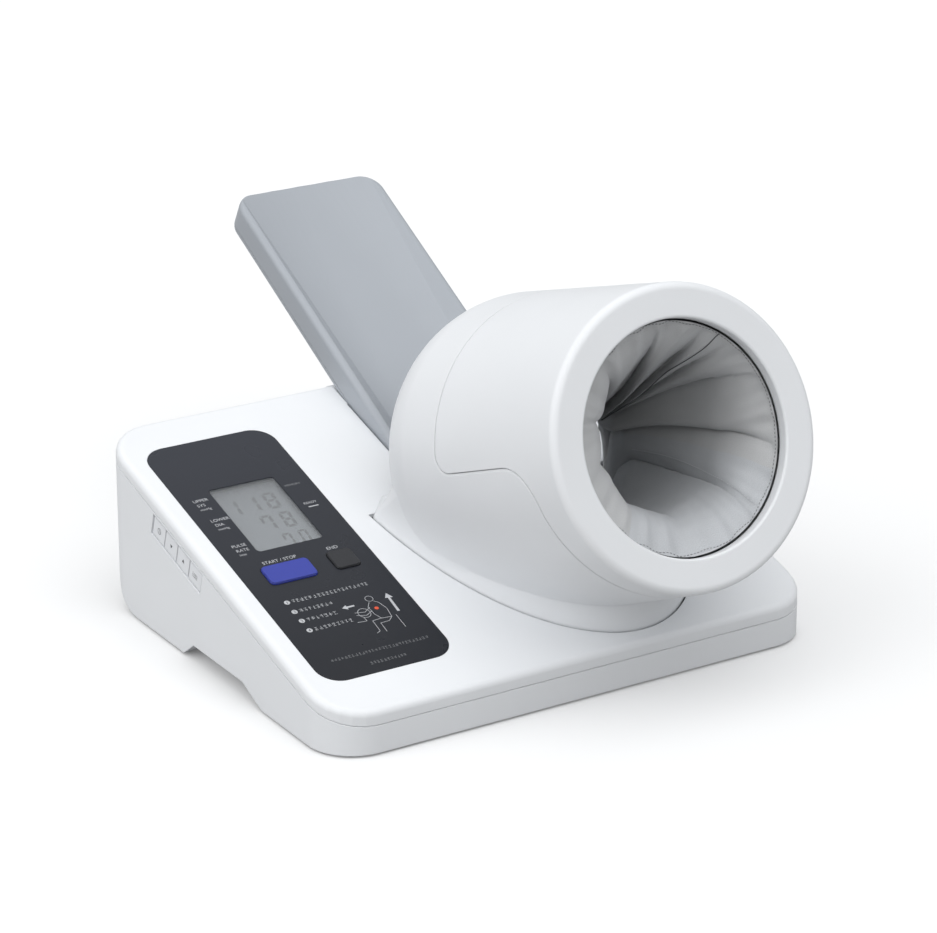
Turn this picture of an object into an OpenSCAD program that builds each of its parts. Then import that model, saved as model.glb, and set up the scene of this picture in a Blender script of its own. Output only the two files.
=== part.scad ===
// Arm-in blood pressure monitor: a wedge-shaped base with a control panel on the
// left, a tilting cuff barrel that the upper arm goes into on the right, and a
// forearm rest behind it that folds forwards over the base.
// Millimetres. +Z is up, -Y is the front edge, +X is the user's right.
// The origin is the middle of the whole object on the table.

/* [Base] */
// Width of the base
base_w = 320; // [300:1:360]
// Depth of the base at deck level
base_d = 270; // [262:1:300]
// Height of the deck at its front edge
front_h = 25.8; // [24:0.1:30]
// Slope of the deck, in degrees
deck_slope = 16.25; // [15:0.25:17.5]
// Radius of the four upright corners
corner_r = 28; // [20:1:32]
// Radius of the rounded edge round the deck
edge_r = 4.5; // [3:0.5:6]
// Wall thickness of the base mouldings
wall = 2.5; // [2:0.1:3]
// How far below the deck the top cover meets the bottom case
seam_drop = 8; // [7:0.5:9]
// Width of the parting line between two mouldings
seam_gap = 0.4; // [0.2:0.1:0.6]
// Height that the rubber feet lift the case
foot_lift = 1.2; // [0.8:0.1:2]
// Depth of the two hand grips under the sides
grip_depth = 34; // [25:1:40]
// Height of the hand grips
grip_h = 9; // [7:0.5:10]

/* [Control panel] */
// Distance of the panel from the left side
panel_x = 12; // [10:0.5:16]
// Distance of the panel from the front edge, along the deck
panel_s = 29; // [25:0.5:35]
// Width of the panel
panel_w = 83; // [80:0.5:88]
// Length of the panel along the deck
panel_l = 223.5; // [215:0.5:230]
// Corner radius of the panel
panel_r = 14; // [8:0.5:18]
// Thickness of the panel
panel_t = 2; // [1.5:0.1:2.5]
// Width of the display window
window_w = 42.5; // [38:0.5:48]
// Length of the display window along the deck
window_l = 61; // [55:0.5:66]
// Distance from the front edge to the middle of the window, along the deck
window_s = 176.5; // [172:0.5:180]
// How far the display's face lies under the panel's
display_drop = 3.2; // [2.8:0.1:4.5]
// Distance from the front edge to the middle of the two buttons, along the deck
button_s = 124; // [120:0.5:127]
// Length of both buttons along the deck
button_l = 16; // [13:0.5:18]
// Width of the start button
start_w = 30; // [24:0.5:34]
// Width of the end button
end_w = 15.5; // [12:0.5:18]
// Height of the buttons above the panel
button_rise = 1.2; // [1.2:0.1:2]
// Travel of the buttons on the panel
button_travel = 0.9; // [0.5:0.1:1]

/* [Side keys] */
// Distance from the front edge to the first side key
keys_y = 146; // [140:1:150]
// Length of each side key
key_l = 14; // [12:0.5:14.5]
// Height of the side keys
key_h = 11.5; // [9:0.5:12]
// How far below the deck the key row starts
keys_drop = 11; // [10:0.5:13]
// Depth of the recess that the keys lie in
key_recess = 1.5; // [1:0.1:2]
// Travel of the side keys
key_travel = 0.8; // [0.5:0.1:1]

/* [Cuff barrel] */
// How far the cuff's centre line lies left of the middle of the deck beside the panel
cuff_shift = 2.2; // [-1:0.1:4]
// How far the barrel's mouth overhangs the front edge, at its centre
lip_y = 24.6; // [20:0.1:30]
// Height of the middle of the barrel's mouth
lip_z = 153.7; // [150:0.1:160]
// Angle by which the barrel's centre line rises towards the front
cuff_angle = 21.2; // [18:0.1:24]
// Radius of the arm opening
opening_r = 65; // [60:0.5:67]
// Outer radius of the barrel at its mouth
mouth_r = 84.9; // [83:0.1:88]
// Outer radius of the barrel at its widest
barrel_r = 92.9; // [90:0.1:94]
// Length of the barrel
barrel_l = 190; // [180:1:195]
// Wall thickness of the barrel mouldings
barrel_wall = 2.6; // [2.2:0.1:3]
// Rounding of the mouth's outer edge
lip_round = 4.5; // [3:0.5:6]
// Distance from the mouth to the rear edge of the upper cover
cover_l = 112; // [100:1:120]
// Half-width of the skirt at the deck
skirt_w = 96; // [95:0.5:98]
// Length of the skirt's half-ellipse at the deck
skirt_l = 182; // [176:1:184]
// Distance from the front edge to the skirt's nose, along the deck
skirt_nose = 10.8; // [9:0.1:14]
// Clearance between the skirt and the deck
skirt_gap = 1; // [0.8:0.1:1.5]
// Radius of the hinge pins of cuff and rest
pin_r = 3; // [2.5:0.1:3.5]

/* [Forearm rest] */
// Width of the forearm rest
rest_w = 102; // [96:0.5:104]
// Length of the forearm rest from its hinge to its far end
rest_l = 228; // [200:1:240]
// Thickness of the rest
rest_t = 20; // [19.5:0.5:21]
// Slope of the opened rest, in degrees
rest_angle = 28; // [27:0.25:28.5]
// Distance from the front edge to the hinge of the rest
rest_pivot_y = 200; // [198:0.5:202]
// Height of the hinge of the rest
rest_pivot_z = 66; // [65:0.5:67]
// Corner radius of the rest's far end
rest_corner_r = 15; // [8:0.5:20]
// Depth of the trough at the far end
trough_end = 6; // [4:0.5:8]
// Depth of the trough at the foot
trough_foot = 13; // [10:0.5:13.5]

/* [Hidden] */

$fn = 96;
hull_fn = 24;          // facets of the spheres that round the deck's edge
fit_gap = 0.3;         // gap between pieces that lie next to each other
run_gap = 0.05;        // radial clearance of a pin in its bore
tan_deck = tan(deck_slope);
white = [0.93, 0.94, 0.95];
far = 400;             // long enough to cut right through the object

// Base: how far and how high the rear face tucks under, and how far it leans in above that
tuck_y = 31;
tuck_z = 44;
rear_lean = 10;
grip_front = 79;       // front end of the hand grips
grip_rear = 170;       // and their rear end

// Barrel: front face, domed rear end and rear opening
face_t = 3;
dome_l = 48;
dome_r = 38.4;
dome_start = barrel_l + 5 - dome_l;
rear_opening_r = 66;

// Centre line of the cuff, from the left side
cuff_x = (panel_x + panel_w + base_w) / 2 - cuff_shift;

// Opening in the deck, and the well under it
hinge_s = 145;                              // hinge line of the cuff, along the deck
hinge_drop = 12;                            // and under it
hinge_y = hinge_s * cos(deck_slope) + hinge_drop * sin(deck_slope);
hinge_z = front_h + hinge_s * sin(deck_slope) - hinge_drop * cos(deck_slope);
skirt_end = skirt_nose + skirt_l - 40;      // rear end of the skirt, along the deck
skirt_depth = 20;                           // how far the skirt reaches under the deck
tilt_room = 3;                              // room behind the skirt for its tilt
slot_end = 257.5;                           // rear end of the rest's slot, along the deck
slot_w = rest_w + 2 * skirt_gap;
foot_swing = 34;                            // radius that the rest's foot sweeps
liner = 2.4;                                // wall of the well
liner_clear = 4;                            // room between the barrel and the well
liner_z = foot_lift + wall + fit_gap;       // underside of the well
liner_front = 12;                           // how far the well's round floor reaches past the barrel's ends
liner_rear = 68;
foot_space = 60;                            // how far the rest's slot reaches past its hinge, down and up
head_space = 100;
hub_r = pin_r + 3.5;                        // bosses that hold the hinge pins
pin_in = 12;                                // how far the cuff's pins reach inside the skirt's side
pin_out = 6;                                // and outside it
shell_boss_l = 7;                           // length of the bosses in the skirt
well_boss_in = 4;                           // how far the well's bosses reach inside the skirt's side
rest_pin_in = 10;                           // how far the rest's pins reach inside its side
rest_pin_out = 7;
rest_boss_l = 14;
slot_boss_in = 1;

// Posts and screws
post_r = 4.5;
post_hole_r = 3.3;
screw_r = 1.5;
screw_l = 10;
head_r = 2.9;
head_t = 1.8;
head_seat = 4;                              // distance from a post's top to its screw's head
posts = [[18, 20], [108, 18], [base_w - 18, 20],
         [18, base_d - 20], [118, base_d - 20], [base_w - 18, base_d - 20]];

// Control panel
window_x = panel_x + 42.2;
start_x = panel_x + 29;
end_x = panel_x + 63.8;
buttons = [[start_x, start_w], [end_x, end_w]];
lens_t = 1.4;
lens_drop = 0.6;                            // how far the lens lies under the panel's face

// Main board, in the deck's frame
board_x = 17;
board_s = 100;
board_w = 73;
board_l = 118;
board_top = -12.5;
board_t = 1.6;
board_screw_r = 1.1;
switch_top = board_top + 3.4;
// left edge, near edge, width, length and height of each chip
chips = [[28, 150, 14, 14, 2], [55, 165, 10, 14, 2], [30, 185, 18, 8, 3]];
sensor_x = 64;
sensor_s = 186;
sensor_w = 12;         // side of the pressure sensor, square on the board
sensor_h = 5;
sensor_port_r = 2;
sensor_port_h = 4;
board_posts = [for (x = [4, board_w - 4], s = [4, board_l - 4]) [board_x + x, board_s + s]];

// Side keys
key_space = 0.8;
key_ledge_l = 4;                           // ledges at the ends of the row, for the keys' board
key_wall = 4;
key_stem = 2;                              // length of the keys' stems behind the wall
key_switch = 2.5;                          // height of their switches
key_board_x = key_wall + fit_gap + key_stem + key_travel + 0.1 + key_switch;

// Batteries: four round cells side by side
cell_r = 7.1;
cell_l = 49;
bay_w = 8 * cell_r + 1;
cell_nub = 1.4;
spring_l = 1.9;
contact_t = 0.5;
contact_w = 10;        // side of a contact plate
spring_r = 3.2;
spring_hole_r = 2.4;
bay_l = cell_l + 5;
bay_x = 24;
bay_y = 174;
door_t = 2;
bay_floor = foot_lift + door_t + fit_gap;   // underside of the cells' space
bay_h = bay_floor + 2 * cell_r + 1 + wall;
cell_z = bay_floor + cell_r;
door_lap = 2;
door_travel = 9;

// Air system
pump_x = 62;
pump_y = 96;
pump_z = 23;
pump_l = 24;
pump_r = 13.5;
motor_y = pump_y + pump_l + fit_gap;
motor_l = 32;
motor_r = 12;
valve_x = 90;
valve_y = 108;
valve_l = 22;
valve_r = 6.5;
tube_r = 2.2;
bend_r = 7;
// where the second tube meets the round wall of the well
tube_end_y = valve_y + valve_l + 5 + bend_r;
tube_depth = (lip_z - (tube_end_y + lip_y) * tan(cuff_angle) - pump_z) * cos(cuff_angle);
tube_end_x = cuff_x - sqrt(pow(barrel_r + liner_clear + liner, 2) - pow(tube_depth, 2)) - 1.5;

// Inlet for the mains adapter
jack_x = 60;
jack_z = 52;
jack_r = 4.6;
jack_bore_r = 2.85;
jack_half = 7;         // half the side of its body
jack_face_y = base_d - rear_lean - fit_gap
    + rear_lean * (jack_z - foot_lift - tuck_z) / (deck_z(base_d) + 5 - foot_lift - tuck_z);

// Rubber feet
foot_r = 7;
feet = [[30, 58], [base_w - 30, 58], [96, 186], [base_w - 30, 190]];

// Cuff, from the outside inwards: outer radius and wall of each layer
drum_r = 77.5;
drum_t = 2.4;
bag_t = 4;
collar_l = 4;          // depth of the collar behind the mouth
curler_t = 1.4;
cell_bag_t = 2.4;
cell_bag_start = 35;   // distance from the mouth to the measuring bladder's front end
cell_bag_l = 115;      // and its length
cell_bag_from = 145;   // angle at which it starts, and the angle that it covers
cell_bag_span = 250;
drum_end = barrel_l - 11;                     // distance from the mouth to the drum's rear end
bag_r = drum_r - drum_t - fit_gap;            // outer radius of the wrapping air bag
curler_r = bag_r - bag_t - fit_gap;           // outer radius of the curler
measure_r = curler_r - curler_t - fit_gap;    // outer radius of the measuring bladder
sleeve_l = barrel_l - 4;                      // length of the fabric sleeve

// Rest
rest_rim = 21.9;       // height of the rest's rim over its hinge line
rest_foot = 22;        // how far the rest reaches past its hinge
rest_split = 4.5;        // thickness of the rest's back cover
rest_edge = 3;         // rounding of its rim
rest_bow = 3.5;        // how far the middle of its far end stands out
rest_bolts = [for (x = [-1, 1], y = [26, rest_l - 30]) [x * (rest_w / 2 - 8), y]];

// The object's front and rear ends, whose middle is the origin
front_y = -lip_y - (face_t - lip_round) * cos(cuff_angle) - (mouth_r - lip_round) * sin(cuff_angle) - lip_round;
rear_y = rest_pivot_y + (rest_l - rest_edge) * cos(rest_angle) - (rest_rim - rest_t + rest_edge) * sin(rest_angle)
    + rest_edge;
mid_y = (front_y + rear_y) / 2;

function deck_z(y) = front_h + y * tan_deck;
function post_top(y) = deck_z(y) - 14;

// Points of an arc, for the outlines of extruded mouldings
function arc(cx, cy, rx, ry, a0, a1, n = 12) =
    [for (i = [0:n]) [cx + rx * cos(a0 + (a1 - a0) * i / n), cy + ry * sin(a0 + (a1 - a0) * i / n)]];

// Place along and over the deck of a point of the barrel: d behind its mouth, u over its axis
function cuff_to_deck(d, u) = let(
        y = d * cos(cuff_angle) + u * sin(cuff_angle) - lip_y,
        z = lip_z - front_h - d * sin(cuff_angle) + u * cos(cuff_angle))
    [y * cos(deck_slope) + z * sin(deck_slope), z * cos(deck_slope) - y * sin(deck_slope)];
// Half the width of the skirt at the distance s along the deck
function skirt_half(s) = skirt_w * sqrt(1 - pow((skirt_nose + skirt_l - s) / skirt_l, 2));

// Frames
module place() translate([-base_w / 2, -mid_y, 0]) children();
module on_deck() translate([0, 0, front_h]) rotate([deck_slope, 0, 0]) children();
module in_cuff() translate([cuff_x, -lip_y, lip_z]) rotate([90 - cuff_angle, 0, 0]) children();
module on_panel(h) on_deck() translate([panel_x + panel_w / 2, panel_s + panel_l / 2, h]) children();
module in_rest() translate([cuff_x, rest_pivot_y, rest_pivot_z]) rotate([rest_angle, 0, 0]) children();

// Places a child that points outwards on a hinge line, at the distance x to the left or right
// of the cuff's centre line
module at_cuff_hinge(side, x)
    translate([cuff_x + side * x, hinge_y, hinge_z]) rotate([0, side * 90, 0]) children();
module at_rest_hinge(side, x)
    translate([cuff_x + side * x, rest_pivot_y, rest_pivot_z])
        rotate([0, side * 90, 0]) children();

// Extrudes an outline drawn as (y, z) along X, from x0 to x1
module along_x(x0, x1)
    translate([x0, 0, 0]) rotate([90, 0, 90]) linear_extrude(x1 - x0) children();

// Rectangle with round corners, from its middle
module round_rect(w, l, r) {
    square([w - 2 * r, l], center = true);
    square([w, l - 2 * r], center = true);
    for (x = [-1, 1], y = [-1, 1]) translate([x * (w / 2 - r), y * (l / 2 - r)]) circle(r);
}

// ---------------------------------------------------------------- base outlines
// Side outline of the base, inset by t
module base_side(t) {
    polygon(concat(
        [[t, foot_lift + t]],
        arc(base_d - rear_lean - tuck_y, foot_lift + tuck_z, tuck_y - t, tuck_z - t, -90, 0),
        [[base_d - t, deck_z(base_d) + 5], [t, deck_z(0) + 5]]));
}

// Everything that lies more than drop under the deck, measured upright
module below_deck(drop) on_deck()
    translate([-far / 4, -far / 4, -far - drop * cos(deck_slope)]) cube([2 * far, 2 * far, far]);

// Block with the base's outline inset by t, up to drop under the deck
module base_block(t, drop) {
    intersection() {
        along_x(t, base_w - t) base_side(t);
        translate([base_w / 2, base_d / 2, 0])
            linear_extrude(far) round_rect(base_w - 2 * t, base_d - 2 * t, corner_r - t);
        below_deck(drop);
    }
}

// Deck with its rounded edge, down to below the parting line
module deck_block() {
    hull() for (x = [0, 1], y = [0, 1], a = [0:15:90]) {
        turn = a + 90 * (x == 1 ? 3 * (1 - y) : 2 - y);
        px = x * base_w + (1 - 2 * x) * corner_r + (corner_r - edge_r) * cos(turn);
        py = y * base_d + (1 - 2 * y) * corner_r + (corner_r - edge_r) * sin(turn);
        translate([px, py, deck_z(py) - edge_r / cos(deck_slope)]) sphere(edge_r, $fn = hull_fn);
        translate([px, py, deck_z(py) - 2 * seam_drop]) cylinder(r = edge_r, h = 1, $fn = hull_fn);
    }
}

// ---------------------------------------------------------------- opening in the deck
// Half-ellipse of the skirt, grown by g and cut off at the distance end
module skirt_outline(g, end) {
    intersection() {
        polygon(arc(cuff_x, skirt_nose + skirt_l, skirt_w + g, skirt_l + g, 180, 360, 64));
        translate([0, end - far]) square([far, far]);
    }
}

// The opening in the deck, grown by g: the skirt's half-ellipse and the slot of the rest
module well_outline(g) {
    skirt_outline(skirt_gap + g, skirt_end + tilt_room + g);
    translate([cuff_x - slot_w / 2 - g, skirt_end - 30])
        square([slot_w + 2 * g, slot_end + g - skirt_end + 30]);
}

// The space of the well under the deck, grown by g
module well_space(g) {
    intersection() {
        on_deck() translate([0, 0, -far]) linear_extrude(far) well_outline(g);
        union() {
            in_cuff() translate([0, 0, -barrel_l - liner_front - g])
                cylinder(r = barrel_r + liner_clear + g, h = barrel_l + liner_front + liner_rear);
            on_deck() translate([-far / 4, -far / 4, -skirt_depth - 3 - g])
                cube([2 * far, skirt_end + tilt_room + g + far / 4, far]);
            at_rest_hinge(-1, -slot_w / 2 - g - 1) cylinder(r = foot_swing + g, h = slot_w + 2 * g + 2);
            in_rest() translate([-slot_w / 2 - g - 1, -foot_space, -hub_r - 1 - g])
                cube([slot_w + 2 * g + 2, foot_space + head_space, far]);
        }
        translate([0, -50, liner_z + liner - g]) cube([far, far, far]);
    }
}

// The room that the rest's slab needs where it leans on the rear of the deck
module rest_room(g) in_rest()
    translate([-rest_w / 2 - g, 20, rest_rim - rest_t - g]) cube([rest_w + 2 * g, 120, 60]);

// ---------------------------------------------------------------- base mouldings
module base_top_cover() place() color(white) {
    difference() {
        union() {
            difference() {
                deck_block();
                base_block(wall, wall / cos(deck_slope));
            }
            intersection() {
                base_block(1, 1);
                union() {
                    // ramp that the rest leans on
                    in_rest() translate([-rest_w / 2 - 3, 52, -wall - 1]) cube([rest_w + 6, 34, 12]);
                    // seat of the panel
                    on_deck() translate([panel_x - 3, panel_s - 3, -panel_t - wall])
                        cube([panel_w + 6, panel_l + 6, panel_t + wall]);
                    for (p = posts) translate([p[0], p[1], post_top(p[1])]) cylinder(r = post_r, h = 30);
                    on_deck() for (p = board_posts) translate([p[0], p[1], board_top])
                        cylinder(r = 3, h = -board_top);
                }
            }
        }
        // the space below the parting line, outside the posts
        difference() {
            below_deck(seam_drop);
            for (p = posts) translate([p[0], p[1], 0]) cylinder(r = post_r + 1, h = far);
            on_deck() for (p = board_posts) translate([p[0], p[1], -40]) cylinder(r = 4, h = 60);
        }
        on_deck() translate([0, 0, -20]) linear_extrude(40) well_outline(0);
        rest_room(fit_gap);
        on_panel(-panel_t) linear_extrude(20) round_rect(panel_w + fit_gap, panel_l + fit_gap, panel_r);
        on_deck() {
            translate([window_x, window_s, -10]) linear_extrude(20)
                square([window_w + 5, window_l + 5], center = true);
            for (b = buttons) translate([b[0], button_s, -10])
                linear_extrude(20) square([b[1] + 2.4, button_l + 2.4], center = true);
            for (p = board_posts) translate([p[0], p[1], board_top - 1]) cylinder(r = board_screw_r, h = 7);
        }
        for (p = posts) translate([p[0], p[1], post_top(p[1]) - 1]) cylinder(r = screw_r, h = screw_l - 2);
    }
}

// Hand grip under one side, grown by t
module hand_grip(side, t) {
    x0 = side < 0 ? -5 : base_w - grip_depth - t;
    x1 = side < 0 ? grip_depth + t : base_w + 5;
    top = foot_lift + grip_h + t;
    along_x(x0, x1) polygon([[grip_front - t, -5], [grip_front - t, foot_lift + t],
        [grip_front + 13.5 - t, top - 3.5], [grip_front + 22 - t, top],
        [grip_rear - 12 + t, top], [grip_rear + t, foot_lift + t], [grip_rear + t, -5]]);
}

// A side key, in the outline of the base's side, grown by g
module key_outline(i, g = 0)
    translate([keys_y, deck_z(keys_y) - keys_drop]) rotate(deck_slope)
        translate([i * (key_l + key_space) - g, -key_h - g]) square([key_l + 2 * g, key_h + 2 * g]);

// The whole row of side keys, grown by g
module key_row(g) {
    translate([keys_y, deck_z(keys_y) - keys_drop]) rotate(deck_slope)
        translate([-g, -key_h - g]) square([4 * key_l + 3 * key_space + 2 * g, key_h + 2 * g]);
}

// Ledge beyond one end of the row of side keys
module key_ledge(end) {
    row_l = 4 * key_l + 3 * key_space;
    translate([keys_y, deck_z(keys_y) - keys_drop]) rotate(deck_slope)
        translate([end == 0 ? -1 - key_ledge_l : row_l + 1, -key_h]) square([key_ledge_l, key_h]);
}

module base_bottom_case() place() color(white) {
    difference() {
        union() {
            difference() {
                base_block(0, seam_drop + seam_gap);
                difference() {
                    base_block(wall, -5);
                    for (side = [-1, 1]) hand_grip(side, wall);
                    // thicker wall behind the side keys
                    along_x(0, key_wall) key_row(5);
                    // battery box
                    translate([bay_x - wall, bay_y - wall, 0])
                        cube([bay_w + 2 * wall, bay_l + 2 * wall, bay_h]);
                    translate([bay_x - wall, bay_y, 0])
                        cube([bay_w + 2 * wall, bay_l + door_travel + 2 * wall, bay_floor + wall]);
                }
            }
            intersection() {
                base_block(1, seam_drop + 2);
                union() {
                    for (p = posts) translate([p[0], p[1], foot_lift])
                        cylinder(r = post_r + 0.5, h = post_top(p[1]) - foot_lift);
                    // saddles of the pump, the motor and the valve
                    saddle(pump_x, pump_y + 6, pump_r);
                    saddle(pump_x, motor_y + 10, motor_r);
                    saddle(valve_x, valve_y + 8, valve_r);
                    // shelf of the inlet
                    translate([jack_x - 8, base_d - 32, jack_z - jack_half - wall]) cube([16, 32, wall]);
                    for (x = [-8, 8 - wall]) translate([jack_x + x, base_d - 22, jack_z - 20])
                        cube([wall, 22, 20 - jack_half - wall / 2]);
                    // ledges that carry the board of the side keys
                    along_x(key_wall - 0.5, key_board_x) for (end = [0, 1]) key_ledge(end);
                }
            }
        }
        for (side = [-1, 1]) hand_grip(side, 0);
        along_x(-5, key_recess) key_row(1);
        for (i = [0:3]) along_x(-5, 20) key_outline(i, fit_gap);
        for (p = posts) translate([p[0], p[1], -1]) {
            cylinder(r = post_hole_r, h = post_top(p[1]) - head_seat + 1);
            cylinder(r = screw_r + 0.2, h = far);
        }
        // battery box and the opening of its door
        translate([bay_x, bay_y, bay_floor - 0.1]) cube([bay_w, bay_l, bay_h - bay_floor - wall + 0.1]);
        translate([bay_x - door_lap - fit_gap, bay_y - door_lap - fit_gap, -1])
            cube([bay_w + 2 * (door_lap + fit_gap), bay_l + 2 * (door_lap + fit_gap) + door_travel,
                  bay_floor + 1]);
        // hole of the inlet
        translate([jack_x, jack_face_y + 5, jack_z]) rotate([90, 0, 0]) cylinder(r = jack_r + 0.1, h = 12);
        for (f = feet) translate([f[0], f[1], foot_lift - 1]) cylinder(r = foot_r + 0.1, h = 2);
    }
}

module saddle(x, y, r) difference() {
    translate([x - r, y, foot_lift]) cube([2 * r, 4, pump_z - foot_lift - 3]);
    translate([x, y - 1, pump_z]) rotate([-90, 0, 0]) cylinder(r = r + 0.05, h = 6);
}

module cuff_well() place() color([0.30, 0.31, 0.33]) {
    difference() {
        union() {
            difference() {
                well_space(liner);
                well_space(0);
            }
            for (side = [-1, 1]) {
                at_cuff_hinge(side, skirt_w - well_boss_in) cylinder(r = hub_r, h = well_boss_in + pin_out);
                at_rest_hinge(side, slot_w / 2 - slot_boss_in)
                    cylinder(r = hub_r, h = slot_boss_in + rest_pin_out);
            }
        }
        well_space(0);
        // the deck itself, and the rest's ramp
        on_deck() translate([-far / 4, -far / 4, -wall - fit_gap]) cube([2 * far, 2 * far, far]);
        in_rest() translate([-rest_w / 2 - 4, 51, -wall - 1 - fit_gap]) cube([rest_w + 8, 60, far]);
        for (side = [-1, 1]) {
            at_cuff_hinge(side, skirt_w - 20) cylinder(r = pin_r, h = 40);
            at_rest_hinge(side, rest_w / 2 - 12) cylinder(r = pin_r, h = 40);
        }
    }
}

module rubber_feet() place() color([0.25, 0.25, 0.27])
    for (f = feet) translate([f[0], f[1], 0]) cylinder(r = foot_r, h = foot_lift + 0.7);

module battery_door() place() color(white) {
    w = bay_w + 2 * door_lap;
    l = bay_l + 2 * door_lap;
    difference() {
        union() {
            translate([bay_x - door_lap, bay_y - door_lap, foot_lift]) cube([w, l, door_t]);
            // low ribs that stiffen it
            for (i = [1:3]) translate([bay_x + i * 2 * cell_r, bay_y + 6, foot_lift + door_t - 0.1])
                cube([1, bay_l - 12, fit_gap]);
        }
        // finger grip
        for (i = [0:4]) translate([bay_x + bay_w / 2 - 9, bay_y + 6 + i * 2.4, foot_lift - 0.6])
            cube([18, 1.2, 1.2]);
    }
}

module batteries() place() color([0.75, 0.62, 0.32]) {
    for (i = [0:3]) {
        flip = i % 2;
        x = bay_x + 0.5 + cell_r * (2 * i + 1);
        translate([x, bay_y + bay_l / 2, cell_z]) rotate([-90, 0, 180 * flip]) {
            translate([0, 0, -cell_l / 2]) cylinder(r = cell_r - 0.05, h = cell_l);
            translate([0, 0, cell_l / 2]) cylinder(r = 2.7, h = cell_nub, $fn = 32);
        }
    }
}

module battery_contacts() place() color([0.8, 0.8, 0.78]) {
    for (i = [0:3], end = [0, 1]) {
        x = bay_x + 0.5 + cell_r * (2 * i + 1);
        plus = (i % 2) != end;
        y = end == 1 ? bay_y + bay_l - contact_t : bay_y;
        translate([x - contact_w / 2, y, cell_z - contact_w / 2]) cube([contact_w, contact_t, contact_w]);
        // a spring on each minus side
        if (!plus) translate([x, end == 1 ? y - spring_l : y + contact_t, cell_z]) rotate([-90, 0, 0])
            difference() {
                cylinder(r = spring_r, h = spring_l, $fn = 32);
                translate([0, 0, -1]) cylinder(r = spring_hole_r, h = spring_l + 2, $fn = 32);
            }
    }
}

module control_panel() place() color([0.18, 0.19, 0.21]) {
    difference() {
        on_panel(-panel_t) linear_extrude(panel_t) round_rect(panel_w, panel_l, panel_r);
        on_deck() {
            translate([window_x, window_s, -5]) linear_extrude(10) round_rect(window_w, window_l, 2.5);
            for (b = buttons) translate([b[0], button_s, -5])
                linear_extrude(10) round_rect(b[1] + 0.6, button_l + 0.6, 3.3);
        }
    }
}

module lcd_window() place() color([0.8, 0.85, 0.9, 0.4])
    on_deck() translate([window_x, window_s, -lens_drop - lens_t])
        linear_extrude(lens_t) round_rect(window_w - 0.2, window_l - 0.2, 2.4);

module lcd_module() place() color([0.62, 0.66, 0.68]) on_deck() {
    difference() {
        translate([window_x - window_w / 2 - 2, window_s - window_l / 2 - 2, board_top])
            cube([window_w + 4, window_l + 4, -panel_t - 0.05 - board_top]);
        // its face, inside a rim that reaches the panel
        translate([window_x - window_w / 2 - 0.5, window_s - window_l / 2 - 0.5, -display_drop])
            cube([window_w + 1, window_l + 1, display_drop]);
        translate([window_x - window_w / 2 + 1, window_s - window_l / 2 + 1, board_top - 1])
            cube([window_w - 2, window_l - 2, 5]);
    }
}

// Button on the panel: cap, flange behind the panel, and stem down to its switch
module panel_button(x, w) on_deck() translate([x, button_s, 0]) {
    translate([0, 0, -panel_t - 0.5]) linear_extrude(panel_t + button_rise - 0.1) round_rect(w, button_l, 3);
    translate([0, 0, button_rise - 0.6]) linear_extrude(0.6) round_rect(w - 0.8, button_l - 0.8, 2.6);
    translate([0, 0, -panel_t - fit_gap - 1]) linear_extrude(1) round_rect(w + 1.4, button_l + 1.4, 3.5);
    translate([0, 0, switch_top + button_travel + 0.1])
        cylinder(r = 3, h = -switch_top - panel_t - button_travel - 1);
}

module start_button() place() color([0.27, 0.29, 0.68]) panel_button(start_x, start_w);
module end_button() place() color([0.14, 0.14, 0.16]) panel_button(end_x, end_w);

// Tact switch: square body with a round plunger, its foot at the origin
module tact_switch(h) {
    translate([-3, -3, 0]) cube([6, 6, h - 0.6]);
    cylinder(r = 1.7, h = h, $fn = 32);
}

module panel_switches() place() color([0.35, 0.35, 0.37]) on_deck()
    for (b = buttons) translate([b[0], button_s, board_top]) tact_switch(switch_top - board_top);

// Side key: face, flange behind the wall, and stem
module side_key(i) {
    along_x(0.5, key_wall + fit_gap + 0.5) key_outline(i);
    along_x(key_wall + fit_gap, key_wall + fit_gap + 0.8) key_outline(i, 0.35);
    mid = key_middle(i);
    translate([key_wall + fit_gap, mid[0], mid[1]]) rotate([0, 90, 0]) cylinder(r = 2, h = key_stem, $fn = 32);
}
function key_middle(i) = let(along = i * (key_l + key_space) + key_l / 2)
    [keys_y + along * cos(deck_slope) + key_h / 2 * sin(deck_slope),
     deck_z(keys_y) - keys_drop + along * sin(deck_slope) - key_h / 2 * cos(deck_slope)];

module memory_key() place() color(white) side_key(0);
module up_key() place() color(white) side_key(1);
module down_key() place() color(white) side_key(2);
module clock_key() place() color(white) side_key(3);

module side_key_switches() place() color([0.35, 0.35, 0.37])
    for (i = [0:3]) translate([key_board_x, key_middle(i)[0], key_middle(i)[1]])
        rotate([0, -90, 0]) tact_switch(key_switch);

module side_key_board() place() color([0.10, 0.35, 0.20])
    along_x(key_board_x, key_board_x + board_t) key_row(1 + key_ledge_l);

module main_board() place() color([0.10, 0.35, 0.20]) on_deck() difference() {
    translate([board_x, board_s, board_top - board_t]) cube([board_w, board_l, board_t]);
    for (p = board_posts) translate([p[0], p[1], board_top - 5]) cylinder(r = board_screw_r + 0.2, h = 10);
}

module board_chips() place() color([0.12, 0.12, 0.13]) on_deck() {
    under = board_top - board_t;
    for (c = chips) translate([c[0], c[1], under - c[4]]) cube([c[2], c[3], c[4]]);
    // pressure sensor with its port
    translate([sensor_x, sensor_s, under - sensor_h]) cube([sensor_w, sensor_w, sensor_h]);
    translate([sensor_x + sensor_w / 2, sensor_s + sensor_w / 2, under - sensor_h - sensor_port_h])
        cylinder(r = sensor_port_r, h = sensor_h, $fn = 32);
}

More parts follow.
